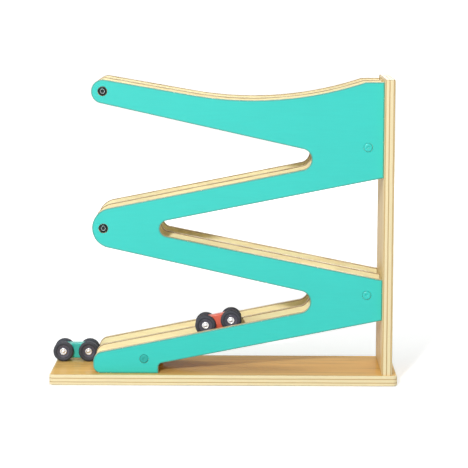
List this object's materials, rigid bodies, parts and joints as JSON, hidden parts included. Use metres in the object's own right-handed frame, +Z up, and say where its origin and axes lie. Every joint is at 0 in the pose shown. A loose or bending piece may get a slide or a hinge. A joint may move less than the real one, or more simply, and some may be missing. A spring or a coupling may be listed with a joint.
{
  "type": "click clack track toy",
  "caption": "Two-lane zigzag wooden click clack track on a base board with an end post, and wheeled cars that tip from ramp to ramp.",
  "frame": {"origin": "middle of the underside of the base board, on the surface that the toy stands on", "axes": "+X along the base board towards the end post, +Y from the front panel towards the back panel, +Z up"},
  "size_m": [0.4025, 0.12, 0.351],
  "materials": {
    "base_ply": "birch plywood under clear lacquer",
    "post_ply": "birch plywood under clear lacquer",
    "teal_ply": "birch plywood, faces painted satin, edge bare",
    "bare_ply": "sanded birch plywood",
    "ramp_ply": "sanded birch plywood",
    "beech": "turned beech, oiled",
    "black_steel": "black oxide, semi-gloss",
    "zinc_steel": "zinc plated",
    "teal_plastic": "moulded, satin",
    "red_paint": "painted hardwood, satin",
    "teal_paint": "painted hardwood, satin",
    "rim_plastic": "moulded, fine texture",
    "tyre_rubber": "soft rubber",
    "bright_cap": "pressed and plated"
  },
  "bodies": {
    "track": {"base_board": "base_ply", "end_post": "post_ply", "front_panel": "teal_ply", "middle_panel": "bare_ply", "back_panel": "teal_ply", "front_ramp_1": "ramp_ply", "front_ramp_2": "ramp_ply", "front_ramp_3": "ramp_ply", "front_ramp_4": "ramp_ply", "back_ramp_1": "ramp_ply", "back_ramp_2": "ramp_ply", "back_ramp_3": "ramp_ply", "back_ramp_4": "ramp_ply", "upper_nose_spacers": "beech", "lower_nose_spacers": "beech", "upper_nose_bolt": "black_steel", "lower_nose_bolt": "black_steel", "nose_cap_nuts": "black_steel", "post_bolts": "zinc_steel", "post_barrel_nuts": "zinc_steel", "foot_bolts": "zinc_steel", "foot_barrel_nuts": "zinc_steel", "front_plugs": "teal_plastic", "back_plugs": "teal_plastic", "post_screws": "zinc_steel"},
    "red_car": {"red_car_body": "red_paint"},
    "red_car_left_wheels": {"red_car_left_axle": "zinc_steel", "red_car_left_rims": "rim_plastic", "red_car_left_tyres": "tyre_rubber", "red_car_left_caps": "bright_cap"},
    "red_car_right_wheels": {"red_car_right_axle": "zinc_steel", "red_car_right_rims": "rim_plastic", "red_car_right_tyres": "tyre_rubber", "red_car_right_caps": "bright_cap"},
    "teal_car": {"teal_car_body": "teal_paint"},
    "teal_car_left_wheels": {"teal_car_left_axle": "zinc_steel", "teal_car_left_rims": "rim_plastic", "teal_car_left_tyres": "tyre_rubber", "teal_car_left_caps": "bright_cap"},
    "teal_car_right_wheels": {"teal_car_right_axle": "zinc_steel", "teal_car_right_rims": "rim_plastic", "teal_car_right_tyres": "tyre_rubber", "teal_car_right_caps": "bright_cap"}
  },
  "joints": [
    {"name": "red_car_roll", "type": "slide", "parent": "track", "child": "red_car", "axis": [0.9803, 0, 0.1977], "range_m": [-0.115, 0.15]},
    {"name": "teal_car_lift", "type": "slide", "parent": "track", "child": "teal_car", "axis": [0, 0, 1], "range_m": [0, 0.1]},
    {"name": "red_car_left_spin", "type": "hinge", "parent": "red_car", "child": "red_car_left_wheels", "pos_m": [-0.0207, -0.02275, 0.06551], "axis": [0, 1, 0], "continuous": true},
    {"name": "red_car_right_spin", "type": "hinge", "parent": "red_car", "child": "red_car_right_wheels", "pos_m": [0.0087, -0.02275, 0.07144], "axis": [0, 1, 0], "continuous": true},
    {"name": "teal_car_left_spin", "type": "hinge", "parent": "teal_car", "child": "teal_car_left_wheels", "pos_m": [-0.1905, 0.028, 0.0243], "axis": [0, 1, 0], "continuous": true},
    {"name": "teal_car_right_spin", "type": "hinge", "parent": "teal_car", "child": "teal_car_right_wheels", "pos_m": [-0.1605, 0.028, 0.0243], "axis": [0, 1, 0], "continuous": true}
  ]
}
